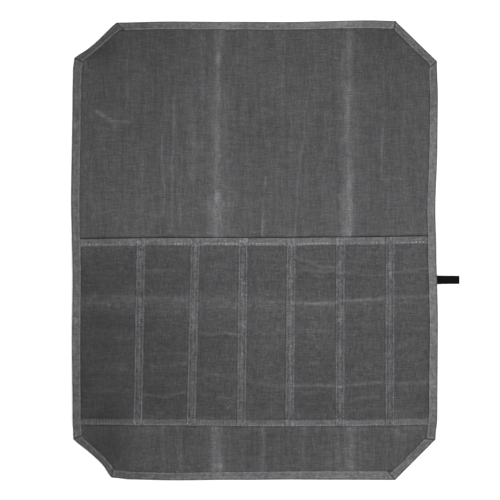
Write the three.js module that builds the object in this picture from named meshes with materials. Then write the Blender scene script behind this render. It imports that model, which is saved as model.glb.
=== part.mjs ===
import * as THREE from "three";

// Chef knife roll of waxed canvas, laid open and flat with its inside up. Millimetres.
// The origin is on the underside at the middle of the panel, +Y runs from the pockets
// to the flap, +X to the tab's side, and +Z is up.

// Main panel
const panelWidth = 456;
const panelLength = 572.5;
const panelWall = 1.6;
const cornerCut = 52;

// Binding folded round the edge
const bindingWidth = 10.5;
const bindingWall = 1;

// Pocket panel
const pocketDepth = 234;
const pocketInset = 68;
const pocketWall = 1;
const pocketGape = 7.5;
const pocketFade = 42;
const upperHem = 9.2;
const lowerHem = 7.9;
const hemFold = 0.7;

// Divider strips
const dividerWidth = 12;
const dividerWall = 1.4;
const dividerOverhang = 1.2;

// Webbing tab, measured down from the pocket mouth and out from the edge
const tabWidth = 10.2;
const tabReach = 28.4;
const tabTuck = 9;
const tabWall = 1.8;
const tabDrop = 52;
const rootFlare = 1.06;

// Lie of the cloth
const foldHeight = 2.4;
const foldWidth = 26;
const foldFade = 25;
const creaseDepth = 1;
const creaseWidth = 10;
const edgeFall = 21;
const pocketTuck = 7.5;
const tabLift = 2.3;
const liftReach = 45;
const layerGap = 0.3;

// Cut corners in shares of cornerCut: how far each cut runs across and up, how far its ends
// lie inside the straight edges, and how far it bows in
const corners = {
  lowerLeft: { across: 0.954, up: 0.986, drop: 0.06, pull: 0.029, bow: 0.058 },
  lowerRight: { across: 1.014, up: 0.976, drop: 0.005, pull: 0.046, bow: 0 },
  upperRight: { across: 1.01, up: 0.954, drop: -0.014, pull: 0.012, bow: 0 },
  upperLeft: { across: 1.063, up: 0.877, drop: 0.026, pull: 0.053, bow: 0.036 },
};

// Waves of the straight edges: at is the share of the edge, going round anticlockwise, and out
// the share of panelWidth by which the edge stands out there
const waves = {
  lower: [
    { at: 0, out: 0 }, { at: 0.07, out: 0.0045 }, { at: 0.2, out: 0.006 },
    { at: 0.45, out: 0.0032 }, { at: 0.66, out: 0.001 }, { at: 1, out: 0 },
  ],
  right: [
    { at: 0, out: 0 }, { at: 0.06, out: 0.0044 }, { at: 0.3, out: 0.0052 }, { at: 0.5, out: 0 },
    { at: 0.61, out: -0.0027 }, { at: 0.78, out: 0.0022 }, { at: 0.9, out: 0.003 }, { at: 1, out: 0 },
  ],
  upper: [
    { at: 0, out: 0 }, { at: 0.1, out: 0.002 }, { at: 0.385, out: -0.0012 },
    { at: 0.6, out: 0.0003 }, { at: 0.82, out: 0.002 }, { at: 1, out: 0 },
  ],
  left: [
    { at: 0, out: 0 }, { at: 0.1, out: 0.0043 }, { at: 0.37, out: 0.0076 },
    { at: 0.58, out: 0.003 }, { at: 0.74, out: 0.0043 }, { at: 0.94, out: 0.0021 }, { at: 1, out: 0 },
  ],
};

// Soft folds that run up the flap, by share of panelWidth from the left
const folds = [
  { name: "left fold", at: 0.397, height: 1 },
  { name: "right fold", at: 0.75, height: 0.85 },
];

// Mouth and foot of the pocket panel: at is the share of panelWidth from the left, mouth and
// foot the shares of pocketDepth by which each stands above its straight line
const hemLines = [
  { at: 0, mouth: -0.006, foot: 0.006 },
  { at: 0.25, mouth: 0, foot: 0.001 },
  { at: 0.55, mouth: 0, foot: -0.004 },
  { at: 0.78, mouth: 0.004, foot: -0.002 },
  { at: 1, mouth: 0.01, foot: 0.006 },
];

// Middle line of each divider strip at the mouth and the foot, by share of panelWidth
const dividers = [
  { mouth: 0.1894, foot: 0.18 },
  { mouth: 0.3379, foot: 0.3256 },
  { mouth: 0.4686, foot: 0.4632 },
  { mouth: 0.5999, foot: 0.5952 },
  { mouth: 0.7347, foot: 0.7328 },
  { mouth: 0.8709, foot: 0.8693 },
];

// Section of a divider strip: shares of half its width and of its wall
const dividerSection = [
  { across: -1, thick: 0.8 },
  { across: -0.42, thick: 0.68 },
  { across: 0, thick: 1 },
  { across: 0.42, thick: 0.68 },
  { across: 1, thick: 0.8 },
];

// How wide each pocket gapes, from the left, as a share of pocketGape
const gapes = [0.95, 1, 1, 0.97, 1.03, 1, 0.95];

// Creases across the pockets: shares of pocketDepth up from the foot and of creaseDepth
const creases = [
  { name: "low crease", at: 0.36, sink: 0.6 },
  { name: "main crease", at: 0.68, sink: 1 },
  { name: "high crease", at: 0.83, sink: 0.5 },
];

// Seats and steps of the sewn edge, and how full the pockets' arches are
const seatMargin = 3;
const hemStep = 1;
const rampLength = 4;
const tapeRound = 0.5;
const archFullness = 0.85;

// How finely the cloth is sampled: steps from one named place to the next, and the least step
const leastStep = 2.5;
const steps = {
  cornerCut: 4,
  leftOfFolds: 5,
  betweenFolds: 5,
  rightOfFolds: 3,
  belowPockets: 2,
  besidePockets: 4,
  flap: 4,
  pocketFade: 4,
  pocketArch: 6,
  firstPocket: 3,
  lastPocket: 2,
  dividerMiddle: 3,
};

// Heights that follow from the sizes. The binding's back lies on the ground.
const edgeHeight = bindingWall + layerGap;
const hemWall = pocketWall + hemFold;
const pocketFoot = -panelLength / 2 + pocketInset;
const pocketMouth = pocketFoot + pocketDepth;
const foldFoot = pocketMouth + dividerOverhang + rampLength;
const tabMiddle = pocketMouth - tabDrop;

// Distances inside the outline at which the cloth is sampled on its way down to the floor
const fallStart = bindingWidth + seatMargin;
const fallEnd = fallStart + edgeFall;
const fallInsets = [fallStart, (fallStart + fallEnd) / 2, fallEnd];
const panelInsets = [bindingWall + layerGap, ...fallInsets];
const pocketInsets = [bindingWidth - pocketTuck, ...fallInsets];

// Thickness of pocket panel that the binding closes over, at heights up from its foot
const boundPocket = [
  { at: -layerGap - rampLength, build: 0 },
  { at: -layerGap, build: hemWall + layerGap },
  { at: pocketDepth + layerGap, build: hemWall + layerGap },
  { at: pocketDepth + layerGap + rampLength, build: 0 },
];

const { lerp, smoothstep } = THREE.MathUtils;

// Values between two ends, without the ends
function spread(from, to, count) {
  return Array.from({ length: count - 1 }, (_, i) => lerp(from, to, (i + 1) / count));
}

// The same stops, each pushed up to lie at least a step above the one before it
function keepApart(low, stops) {
  let last = low;
  return stops.map((stop) => {
    last = Math.max(stop, last + leastStep);
    return last;
  });
}

// One column of a table at a place between its rows, eased from row to row
function fromTable(rows, column, at) {
  const next = rows.findIndex((row) => row.at >= at);
  const upper = next < 0 ? rows.length - 1 : Math.max(1, next);
  const [a, b] = [rows[upper - 1], rows[upper]];
  return lerp(a[column], b[column], smoothstep(at, a.at, b.at));
}

// Share of the panel's width, from the left
function shareAcross(x) {
  return THREE.MathUtils.clamp(x / panelWidth + 0.5, 0, 1);
}

// Outline: eight edges, anticlockwise from the lower one, between the ends of the corner cuts
function endOnLevel(corner, sideX, sideY) {
  const x = sideX * (panelWidth / 2 - corner.across * cornerCut);
  const y = sideY * (panelLength / 2 - corner.drop * cornerCut);
  return new THREE.Vector2(x, y);
}

function endOnSide(corner, sideX, sideY) {
  const x = sideX * (panelWidth / 2 - corner.pull * cornerCut);
  const y = sideY * (panelLength / 2 - corner.up * cornerCut);
  return new THREE.Vector2(x, y);
}

function bowedCut(corner) {
  const out = (-corner.bow * cornerCut) / panelWidth;
  return [{ at: 0, out: 0 }, { at: 0.5, out }, { at: 1, out: 0 }];
}

const edges = [
  { name: "lower", along: "x", start: endOnLevel(corners.lowerLeft, -1, -1), waves: waves.lower },
  { name: "lowerRight", start: endOnLevel(corners.lowerRight, 1, -1), waves: bowedCut(corners.lowerRight) },
  { name: "right", along: "y", start: endOnSide(corners.lowerRight, 1, -1), waves: waves.right },
  { name: "upperRight", start: endOnSide(corners.upperRight, 1, 1), waves: bowedCut(corners.upperRight) },
  { name: "upper", along: "x", start: endOnLevel(corners.upperRight, 1, 1), waves: waves.upper },
  { name: "upperLeft", start: endOnLevel(corners.upperLeft, -1, 1), waves: bowedCut(corners.upperLeft) },
  { name: "left", along: "y", start: endOnSide(corners.upperLeft, -1, 1), waves: waves.left },
  { name: "lowerLeft", start: endOnSide(corners.lowerLeft, -1, -1), waves: bowedCut(corners.lowerLeft) },
];
const edgeNumber = Object.fromEntries(edges.map((edge, i) => [edge.name, i]));

function edgeStart(number) {
  return edges[(number + edges.length) % edges.length].start;
}

function inward(number) {
  const start = edgeStart(number);
  const end = edgeStart(number + 1);
  return new THREE.Vector2(start.y - end.y, end.x - start.x).normalize();
}

// Start of an edge, moved in along the mitre by a distance measured square to the edges
function mitre(number, inset) {
  const before = inward(number - 1);
  const after = inward(number);
  const reach = inset / (1 + before.dot(after));
  return edgeStart(number).clone().addScaledVector(before.add(after), reach);
}

function edgePoint(number, share, inset) {
  const out = fromTable(edges[number % edges.length].waves, "out", share) * panelWidth;
  const point = mitre(number, inset).lerp(mitre(number + 1, inset), share);
  return point.addScaledVector(inward(number), -out);
}

// Places along X at which the level edges are sampled, close together over the folds
const foldCentres = folds.map((fold) => (fold.at - 0.5) * panelWidth);

function columnStops(low, high) {
  const [left, right] = foldCentres.map((x) => [-2, -1, 0, 1, 2].map((k) => x + k * foldWidth / 4));
  const first = spread(low, left[0], steps.leftOfFolds);
  const between = spread(left.at(-1), right[0], steps.betweenFolds);
  const last = spread(right.at(-1), high, steps.rightOfFolds);
  return [...first, ...left, ...between, ...right, ...last];
}

// Places along Y at which the left and right edges are sampled, close together over the tab
// and where the binding climbs over the pocket panel
function rowStops(low, high, side) {
  const x = side === "left" ? -panelWidth / 2 : panelWidth / 2;
  const [under, foot, mouth, over] = boundPocket.map(({ at }) => pocketY(x, at));
  const foldTop = foldFoot + foldFade;
  const overTab = [-1, -0.5, 0, 0.5, 1].map((k) => tabMiddle + k * liftReach);
  const below = spread(low, under, steps.belowPockets);
  const beside = spread(foot, overTab[0], steps.besidePockets);
  const flap = spread(foldTop, high, steps.flap);
  const pockets = [under, foot, ...beside, ...overTab, mouth, over];
  return keepApart(low, [...below, ...pockets, foldTop, ...flap]);
}

// Where an edge is sampled between its ends, as shares of it
function edgeShares(number, inset) {
  const { name, along } = edges[number];
  if (!along) {
    return spread(0, 1, steps.cornerCut);
  }
  const start = mitre(number, inset)[along];
  const end = mitre(number + 1, inset)[along];
  const stops = along === "x" ? columnStops : rowStops;
  const shares = stops(Math.min(start, end), Math.max(start, end), name).map((stop) => {
    return (stop - start) / (end - start);
  });
  return start < end ? shares : shares.reverse();
}

// One closed ring of points at a distance inside the outline
function ring(inset) {
  return edges.flatMap((_, number) => {
    return [0, ...edgeShares(number, inset)].map((share) => edgePoint(number, share, inset));
  });
}

// X of the left or right side of the outline at a height, moved in by a distance
function sideX(name, y, inset) {
  const middle = edgeNumber[name];
  const places = [middle - 1, middle, middle + 1].map((number) => {
    const start = mitre(number, inset).y;
    const end = mitre(number + 1, inset).y;
    return edgePoint(number, (y - start) / (end - start), inset).x;
  });
  return name === "left" ? Math.max(...places) : Math.min(...places);
}

// How high the right-hand edge rides on the tab
function rideOnTab(x, y) {
  const turn = Math.min(1, Math.abs(y - tabMiddle) / liftReach);
  return x > 0 ? tabLift * (1 + Math.cos(Math.PI * turn)) / 2 : 0;
}

// Rise of the cloth's underside towards the binding
function edgeRise(x, y, inset) {
  return (edgeHeight + rideOnTab(x, y)) * (1 - smoothstep(inset, fallStart, fallEnd));
}

// Soft folds of the flap. They die out at the binding and just above the pocket mouth.
function foldRise(x, y, inset) {
  const heights = folds.map((fold, i) => {
    const turn = Math.min(1, Math.abs(x - foldCentres[i]) / (foldWidth / 2));
    return fold.height * (1 + Math.cos(Math.PI * turn)) / 2;
  });
  const along = smoothstep(y, foldFoot, foldFoot + foldFade) * smoothstep(inset, fallStart, fallEnd);
  return foldHeight * Math.max(...heights) * along;
}

// Closed solid from a flat net of triangles, with a top and a bottom height at each point
function clothSolid(points, faces) {
  const count = points.length;
  const triangles = [];
  const directed = new Set(faces.flatMap(([a, b, c]) => [`${a},${b}`, `${b},${c}`, `${c},${a}`]));
  for (const [a, b, c] of faces) {
    triangles.push(a, b, c, count + a, count + c, count + b);
    for (const [from, to] of [[a, b], [b, c], [c, a]]) {
      if (!directed.has(`${to},${from}`)) {
        triangles.push(to, from, count + from, to, count + from, count + to);
      }
    }
  }
  const tops = points.flatMap((point) => [point.x, point.y, point.top]);
  const bottoms = points.flatMap((point) => [point.x, point.y, point.bottom]);
  return meshGeometry([...tops, ...bottoms], triangles);
}

function meshGeometry(positions, triangles) {
  const geometry = new THREE.BufferGeometry();
  geometry.setAttribute("position", new THREE.Float32BufferAttribute(positions, 3));
  geometry.setIndex(triangles);
  geometry.computeVertexNormals();
  return geometry;
}

// Two triangles for each cell of a net: index gives the point's number at a column and a row
function netFaces(columns, rows, index) {
  const faces = [];
  for (let row = 0; row < rows; row += 1) {
    for (let column = 0; column < columns; column += 1) {
      const a = index(column, row);
      const b = index(column + 1, row);
      const c = index(column + 1, row + 1);
      const d = index(column, row + 1);
      faces.push([a, b, c], [a, c, d]);
    }
  }
  return faces;
}

// Main panel: rings of points down from the binding, and a net of columns and rows inside them
function panelPoint(point, inset) {
  const bottom = edgeRise(point.x, point.y, inset) + foldRise(point.x, point.y, inset);
  return { x: point.x, y: point.y, bottom, top: bottom + panelWall };
}

// Number of a net's border point in the ring round it, which starts at the lower left
function onRing(column, row, columns, rows) {
  if (row === 0) {
    return column;
  }
  if (column === columns) {
    return columns + row;
  }
  if (row === rows) {
    return 2 * columns + rows - column;
  }
  return 2 * columns + 2 * rows - row;
}

function mainPanel() {
  const rings = panelInsets.map((inset) => ring(inset));
  const length = rings[0].length;
  const points = rings.flatMap((loop, i) => loop.map((point) => panelPoint(point, panelInsets[i])));
  const faces = netFaces(length, rings.length - 1, (k, level) => level * length + (k % length));

  const inner = rings.at(-1);
  const columns = columnStops(0, 0).length + 1;
  const rows = length / 2 - columns;
  const firstInside = points.length;
  for (let row = 1; row < rows; row += 1) {
    const left = inner[onRing(0, row, columns, rows)];
    const right = inner[onRing(columns, row, columns, rows)];
    for (const x of columnStops(left.x, right.x)) {
      const y = lerp(left.y, right.y, (x - left.x) / (right.x - left.x));
      points.push(panelPoint({ x, y }, fallEnd));
    }
  }
  const index = (column, row) => {
    const inside = column > 0 && column < columns && row > 0 && row < rows;
    const border = (rings.length - 1) * length + onRing(column, row, columns, rows);
    return inside ? firstInside + (row - 1) * (columns - 1) + column - 1 : border;
  };
  faces.push(...netFaces(columns, rows, index));
  return clothSolid(points, faces);
}

// Pocket panel. Places on it are a distance across and a height up from its foot.
function pocketY(x, height) {
  const at = shareAcross(x);
  const foot = pocketFoot + fromTable(hemLines, "foot", at) * pocketDepth;
  const mouth = pocketMouth + fromTable(hemLines, "mouth", at) * pocketDepth;
  return lerp(foot, mouth, height / pocketDepth);
}

function sideXAtHeight(name, height, inset) {
  const roughX = name === "left" ? -panelWidth / 2 : panelWidth / 2;
  return sideX(name, pocketY(roughX, height), inset);
}

function dividerX(divider, height) {
  return (lerp(divider.foot, divider.mouth, height / pocketDepth) - 0.5) * panelWidth;
}

// Left and right limits of the seven pockets at a height
function pocketLimits(height) {
  const flat = dividerWidth / 2 + 2 * layerGap;
  const strips = dividers.flatMap((divider) => {
    const middle = dividerX(divider, height);
    return [middle - flat, middle + flat];
  });
  const left = sideXAtHeight("left", height, fallStart);
  const right = sideXAtHeight("right", height, fallStart);
  const limits = [left, ...strips, right];
  return gapes.map((gape, i) => ({ gape, left: limits[2 * i], right: limits[2 * i + 1] }));
}

function creaseSink(height) {
  const sinks = creases.map((crease) => {
    const off = Math.abs(height - crease.at * pocketDepth) / (creaseWidth / 2);
    return crease.sink * Math.max(0, 1 - off);
  });
  return creaseDepth * Math.max(...sinks);
}

// How far a pocket's front stands off the panel
function pocketRise(x, height, limits) {
  const pocket = limits.find(({ left, right }) => x > left && x < right);
  if (!pocket) {
    return 0;
  }
  const across = (x - pocket.left) / (pocket.right - pocket.left);
  const arch = Math.sin(Math.PI * across) ** archFullness;
  const along = smoothstep(height, lowerHem + hemStep, lowerHem + hemStep + pocketFade);
  return (pocket.gape * pocketGape - creaseSink(height)) * arch * along;
}

function pocketColumns(height, limits) {
  const left = pocketInsets.map((inset) => sideXAtHeight("left", height, inset));
  const right = pocketInsets.map((inset) => sideXAtHeight("right", height, inset)).reverse();
  const first = spread(left.at(-1), limits[0].right, steps.firstPocket);
  const last = spread(limits.at(-1).left, right[0], steps.lastPocket);
  const middle = limits.slice(1, -1).flatMap((pocket) => {
    return [pocket.left, ...spread(pocket.left, pocket.right, steps.pocketArch), pocket.right];
  });
  return [...left, ...first, limits[0].right, ...middle, limits.at(-1).left, ...last, ...right];
}

function pocketHeights() {
  const hemEnd = lowerHem + hemStep;
  const fade = spread(hemEnd, hemEnd + pocketFade, steps.pocketFade);
  const folded = creases.flatMap((crease) => {
    const middle = crease.at * pocketDepth;
    return [middle - creaseWidth / 2, middle, middle + creaseWidth / 2];
  });
  const overTab = pocketDepth - tabDrop;
  const arched = [...fade, ...folded, overTab].sort((a, b) => a - b);
  const hemTop = pocketDepth - upperHem;
  return [0, lowerHem, hemEnd, ...arched, hemTop - hemStep, hemTop, pocketDepth];
}

function pocketThickness(height) {
  const inLowerHem = height <= lowerHem;
  const inUpperHem = height >= pocketDepth - upperHem;
  return inLowerHem || inUpperHem ? hemWall : pocketWall;
}

// Height of the pocket panel's underside where it isn't gaping
function pocketSeat(x, height) {
  const y = pocketY(x, height);
  const inset = Math.min(x - sideX("left", y, 0), sideX("right", y, 0) - x);
  return edgeRise(x, y, inset) + panelWall + layerGap;
}

function pocketPanel() {
  const heights = pocketHeights();
  const rows = heights.map((height) => {
    const limits = pocketLimits(height);
    return pocketColumns(height, limits).map((x) => {
      const bottom = pocketSeat(x, height) + pocketRise(x, height, limits);
      return { x, y: pocketY(x, height), bottom, top: bottom + pocketThickness(height) };
    });
  });
  const width = rows[0].length;
  const faces = netFaces(width - 1, rows.length - 1, (column, row) => row * width + column);
  return clothSolid(rows.flat(), faces);
}

// Divider strip, which lies on the flat sewn part of the pocket panel and climbs both hems
function dividerStrip(divider) {
  const hemTop = pocketDepth - upperHem;
  const middle = spread(lowerHem, hemTop, steps.dividerMiddle);
  const heights = [0, lowerHem, lowerHem + hemStep, ...middle, hemTop - hemStep, hemTop,
    pocketDepth, pocketDepth + dividerOverhang];
  const rows = heights.map((height) => dividerSection.map(({ across, thick }) => {
    const x = dividerX(divider, height) + across * dividerWidth / 2;
    const bottom = pocketSeat(x, height) + pocketThickness(height) + layerGap;
    return { x, y: pocketY(x, height), bottom, top: bottom + thick * dividerWall };
  }));
  const width = dividerSection.length;
  const faces = netFaces(width - 1, rows.length - 1, (column, row) => row * width + column);
  return clothSolid(rows.flat(), faces);
}

// Thickness that the binding closes over, besides the main panel, at a point of the edge
function boundThickness(point) {
  const foot = pocketY(point.x, 0);
  const height = (point.y - foot) * pocketDepth / (pocketY(point.x, pocketDepth) - foot);
  return fromTable(boundPocket, "build", height);
}

// Binding: a folded tape whose section runs round the outline
function edgeBinding() {
  const builds = ring(0).map(boundThickness);
  const top = edgeHeight + panelWall + layerGap + bindingWall;
  const section = [
    { inset: bindingWidth, level: 0, climbs: 0 },
    { inset: tapeRound, level: 0, climbs: 0 },
    { inset: 0, level: tapeRound, climbs: 0 },
    { inset: 0, level: top - tapeRound, climbs: 1 },
    { inset: tapeRound, level: top, climbs: 1 },
    { inset: bindingWidth, level: top, climbs: 1 },
    { inset: bindingWidth, level: top - bindingWall, climbs: 1 },
    { inset: bindingWall, level: top - bindingWall, climbs: 1 },
    { inset: bindingWall, level: bindingWall, climbs: 0 },
    { inset: bindingWidth, level: bindingWall, climbs: 0 },
  ];
  const positions = section.flatMap(({ inset, level, climbs }) => {
    return ring(inset).flatMap((point, k) => {
      return [point.x, point.y, level + climbs * builds[k] + rideOnTab(point.x, point.y)];
    });
  });
  const length = builds.length;
  const index = (k, corner) => (corner % section.length) * length + (k % length);
  return meshGeometry(positions, netFaces(length, section.length, index).flat());
}

// Tab of flat webbing, a little wider at its root, under the right-hand binding
function sideTab() {
  const edgeX = sideX("right", tabMiddle, 0);
  const rootX = edgeX - tabTuck;
  const tipX = edgeX + tabReach;
  const rootHalf = rootFlare * tabWidth / 2;
  const tipHalf = tabWidth / 2;
  const outline = new THREE.Shape([
    new THREE.Vector2(rootX, tabMiddle - rootHalf),
    new THREE.Vector2(tipX, tabMiddle - tipHalf),
    new THREE.Vector2(tipX, tabMiddle + tipHalf),
    new THREE.Vector2(rootX, tabMiddle + rootHalf),
  ]);
  return new THREE.ExtrudeGeometry(outline, { depth: tabWall, bevelEnabled: false });
}

// Waxed canvas, tape and webbing
function cloth(color, roughness) {
  return new THREE.MeshStandardMaterial({ color, roughness, metalness: 0 });
}

function piece(name, geometry, material) {
  const mesh = new THREE.Mesh(geometry, material);
  mesh.name = name;
  return mesh;
}

const knifeRoll = new THREE.Group();
knifeRoll.add(piece("main_panel", mainPanel(), cloth("#595759", 0.8)));
knifeRoll.add(piece("pocket_panel", pocketPanel(), cloth("#545355", 0.8)));
knifeRoll.add(piece("edge_binding", edgeBinding(), cloth("#6c6b6d", 0.75)));
dividers.forEach((divider, i) => {
  knifeRoll.add(piece(`divider_strip_${i + 1}`, dividerStrip(divider), cloth("#636264", 0.75)));
});
knifeRoll.add(piece("side_tab", sideTab(), cloth("#161615", 0.6)));

export default knifeRoll;
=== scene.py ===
"""Looks of a chef knife roll of waxed canvas, laid open and flat with its inside up.

Sizes are in millimetres and in the part's own frame. They become metres where a mesh is made.
"""

import math

import bpy
import numpy as np
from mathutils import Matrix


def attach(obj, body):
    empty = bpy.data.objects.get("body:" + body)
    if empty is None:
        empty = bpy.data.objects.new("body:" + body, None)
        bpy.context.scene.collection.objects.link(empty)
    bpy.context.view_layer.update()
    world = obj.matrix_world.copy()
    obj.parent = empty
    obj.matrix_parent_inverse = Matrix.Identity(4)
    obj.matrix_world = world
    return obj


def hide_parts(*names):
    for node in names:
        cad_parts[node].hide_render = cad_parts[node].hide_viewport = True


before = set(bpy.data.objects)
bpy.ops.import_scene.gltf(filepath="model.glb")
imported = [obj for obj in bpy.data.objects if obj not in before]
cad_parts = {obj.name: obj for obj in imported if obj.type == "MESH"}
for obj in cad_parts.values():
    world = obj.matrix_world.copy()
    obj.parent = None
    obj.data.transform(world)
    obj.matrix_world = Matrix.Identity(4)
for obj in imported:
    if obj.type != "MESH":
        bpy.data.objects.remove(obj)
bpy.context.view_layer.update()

MM = 0.001

# Sizes that the part's source has too
PANEL_WIDTH = 456
PANEL_LENGTH = 572.5
PANEL_WALL = 1.6
CORNER_CUT = 52
BINDING_WIDTH = 10.5
BINDING_WALL = 1
POCKET_DEPTH = 234
POCKET_INSET = 68
POCKET_WALL = 1
POCKET_GAPE = 7.5
POCKET_FADE = 42
UPPER_HEM = 9.2
LOWER_HEM = 7.9
HEM_FOLD = 0.7
DIVIDER_WIDTH = 12
DIVIDER_WALL = 1.4
DIVIDER_OVERHANG = 1.2
TAB_WIDTH = 10.2
TAB_REACH = 28.4
TAB_TUCK = 9
TAB_WALL = 1.8
TAB_DROP = 52
ROOT_FLARE = 1.06
FOLD_HEIGHT = 2.4
FOLD_WIDTH = 26
FOLD_FADE = 25
CREASE_DEPTH = 1
CREASE_WIDTH = 10
EDGE_FALL = 21
POCKET_TUCK = 7.5
TAB_LIFT = 2.3
LIFT_REACH = 45
LAYER_GAP = 0.3
SEAT_MARGIN = 3
HEM_STEP = 1
RAMP_LENGTH = 4
ARCH_FULLNESS = 0.85

EDGE_HEIGHT = BINDING_WALL + LAYER_GAP
HEM_WALL = POCKET_WALL + HEM_FOLD
UPPER_HEM_FOOT = POCKET_DEPTH - UPPER_HEM
POCKET_FOOT = -PANEL_LENGTH / 2 + POCKET_INSET
POCKET_MOUTH = POCKET_FOOT + POCKET_DEPTH
FOLD_FOOT = POCKET_MOUTH + DIVIDER_OVERHANG + RAMP_LENGTH
TAB_MIDDLE = POCKET_MOUTH - TAB_DROP
FALL_START = BINDING_WIDTH + SEAT_MARGIN
FALL_END = FALL_START + EDGE_FALL
BINDING_TOP = EDGE_HEIGHT + PANEL_WALL + LAYER_GAP + BINDING_WALL

# Cut corners in shares of CORNER_CUT: across, up, drop, pull, bow
CORNERS = {
    "lower_left": (0.954, 0.986, 0.06, 0.029, 0.058),
    "lower_right": (1.014, 0.976, 0.005, 0.046, 0),
    "upper_right": (1.01, 0.954, -0.014, 0.012, 0),
    "upper_left": (1.063, 0.877, 0.026, 0.053, 0.036),
}

# Waves of the straight edges, anticlockwise: share of the edge, share of PANEL_WIDTH outwards
WAVES = {
    "lower": [(0, 0), (0.07, 0.0045), (0.2, 0.006), (0.45, 0.0032), (0.66, 0.001), (1, 0)],
    "right": [(0, 0), (0.06, 0.0044), (0.3, 0.0052), (0.5, 0), (0.61, -0.0027), (0.78, 0.0022),
              (0.9, 0.003), (1, 0)],
    "upper": [(0, 0), (0.1, 0.002), (0.385, -0.0012), (0.6, 0.0003), (0.82, 0.002), (1, 0)],
    "left": [(0, 0), (0.03, 0.0032), (0.1, 0.0045), (0.37, 0.0076), (0.58, 0.003), (0.74, 0.0043),
             (0.94, 0.0021), (1, 0)],
}

# Soft folds up the flap: share of the width from the left, height
FOLDS = [(0.397, 1), (0.75, 0.85)]

# Hems of the pocket panel: share of the width from the left, share of POCKET_DEPTH upwards
MOUTH_LINE = [(0, -0.006), (0.25, 0), (0.55, 0), (0.78, 0.004), (1, 0.01)]
FOOT_LINE = [(0, 0.006), (0.25, 0.001), (0.55, -0.004), (0.78, -0.002), (1, 0.006)]

# Middle line of each divider strip at the mouth and the foot, by share of the width, and the
# share of POCKET_GAPE by which each pocket gapes
DIVIDERS = [
    (0.1894, 0.18), (0.3379, 0.3256), (0.4686, 0.4632),
    (0.5999, 0.5952), (0.7347, 0.7328), (0.8709, 0.8693),
]
GAPES = [0.95, 1, 1, 0.97, 1.03, 1, 0.95]

# Creases across the pockets: share of POCKET_DEPTH up from the foot, share of CREASE_DEPTH
CREASES = [(0.36, 0.6), (0.68, 1), (0.83, 0.5)]


def smooth(value, low, high):
    t = np.clip((value - low) / (high - low), 0, 1)
    return t * t * (3 - 2 * t)


def eased(rows, at):
    """Second column of a table at places between its rows, eased from row to row."""
    places, values = np.array(rows, float).T
    upper = np.clip(np.searchsorted(places, at), 1, len(places) - 1)
    share = smooth(at, places[upper - 1], places[upper])
    return values[upper - 1] + (values[upper] - values[upper - 1]) * share


def between(rows, at):
    """Second column of a table at places between its rows, straight from row to row."""
    places, values = np.array(rows, float).T
    return np.interp(at, places, values)


def mirrored(half):
    """A table that starts at its middle, with its mirror image put before it."""
    return [(-at, value) for at, value in half[:0:-1]] + half


def bell(distance, width):
    """1 at no distance, and almost 0 from twice the width on."""
    return np.exp(-(distance / width) ** 2)


def ridge(distance, reach):
    """1 at no distance, falling smoothly to 0 at a reach to either side."""
    return (1 + np.cos(np.pi * np.minimum(1, np.abs(distance) / reach))) / 2


def lattice_noise(x, y, size_x, size_y, seed):
    """Smooth noise from -1 to 1 whose lumps are size_x by size_y."""
    cells, shift = 64, 1000
    table = np.random.default_rng(seed).uniform(-1, 1, (cells, cells))
    u, v = np.asarray(x) / size_x + shift, np.asarray(y) / size_y + shift
    i, j = np.floor(u).astype(int), np.floor(v).astype(int)
    s, t = u - i, v - j
    s, t = s * s * (3 - 2 * s), t * t * (3 - 2 * t)

    def corner(a, b):
        return table[(i + a) % cells, (j + b) % cells]

    low = corner(0, 0) * (1 - s) + corner(1, 0) * s
    high = corner(0, 1) * (1 - s) + corner(1, 1) * s
    return low * (1 - t) + high * t


# Outline: eight edges, anticlockwise from the lower one
def corner_end(corner, way_x, way_y, on_level):
    """End of a cut corner: on the lower or upper edge, or else on the left or right one."""
    across, up, drop, pull, _ = (CORNER_CUT * share for share in CORNERS[corner])
    inward_x, inward_y = (across, drop) if on_level else (pull, up)
    return way_x * (PANEL_WIDTH / 2 - inward_x), way_y * (PANEL_LENGTH / 2 - inward_y)


def bowed(corner):
    out = -CORNERS[corner][4] * CORNER_CUT / PANEL_WIDTH
    return [(0, 0), (0.62, 1.4 * out), (1, 0)]


EDGES = [
    ("lower", corner_end("lower_left", -1, -1, True), WAVES["lower"]),
    ("lower_right", corner_end("lower_right", 1, -1, True), bowed("lower_right")),
    ("right", corner_end("lower_right", 1, -1, False), WAVES["right"]),
    ("upper_right", corner_end("upper_right", 1, 1, False), bowed("upper_right")),
    ("upper", corner_end("upper_right", 1, 1, True), WAVES["upper"]),
    ("upper_left", corner_end("upper_left", -1, 1, True), bowed("upper_left")),
    ("left", corner_end("upper_left", -1, 1, False), WAVES["left"]),
    ("lower_left", corner_end("lower_left", -1, -1, False), bowed("lower_left")),
]
EDGE_NAMES = [name for name, _, _ in EDGES]
STARTS = np.array([start for _, start, _ in EDGES])
RUNS = np.roll(STARTS, -1, axis=0) - STARTS
LENGTHS = np.hypot(RUNS[:, 0], RUNS[:, 1])
NORMALS = np.stack([-RUNS[:, 1], RUNS[:, 0]], axis=1) / LENGTHS[:, None]


def mitre(number, inset):
    """Start of an edge, moved in along the mitre by a distance square to the edges."""
    before, after = NORMALS[number - 1], NORMALS[number % 8]
    reach = np.asarray(inset, float)[..., None] / (1 + before @ after)
    return STARTS[number % 8] + (before + after) * reach


def edge_point(number, share, inset, corner=mitre, bow=1):
    """Point at a share of an edge, moved in by a distance. Bow scales the edge's waves."""
    share, inset = np.broadcast_arrays(np.asarray(share, float), np.asarray(inset, float))
    out = eased(EDGES[number % 8][2], share) * PANEL_WIDTH * bow
    start, end = corner(number, inset), corner(number + 1, inset)
    return start + (end - start) * share[..., None] - NORMALS[number % 8] * out[..., None]


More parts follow.
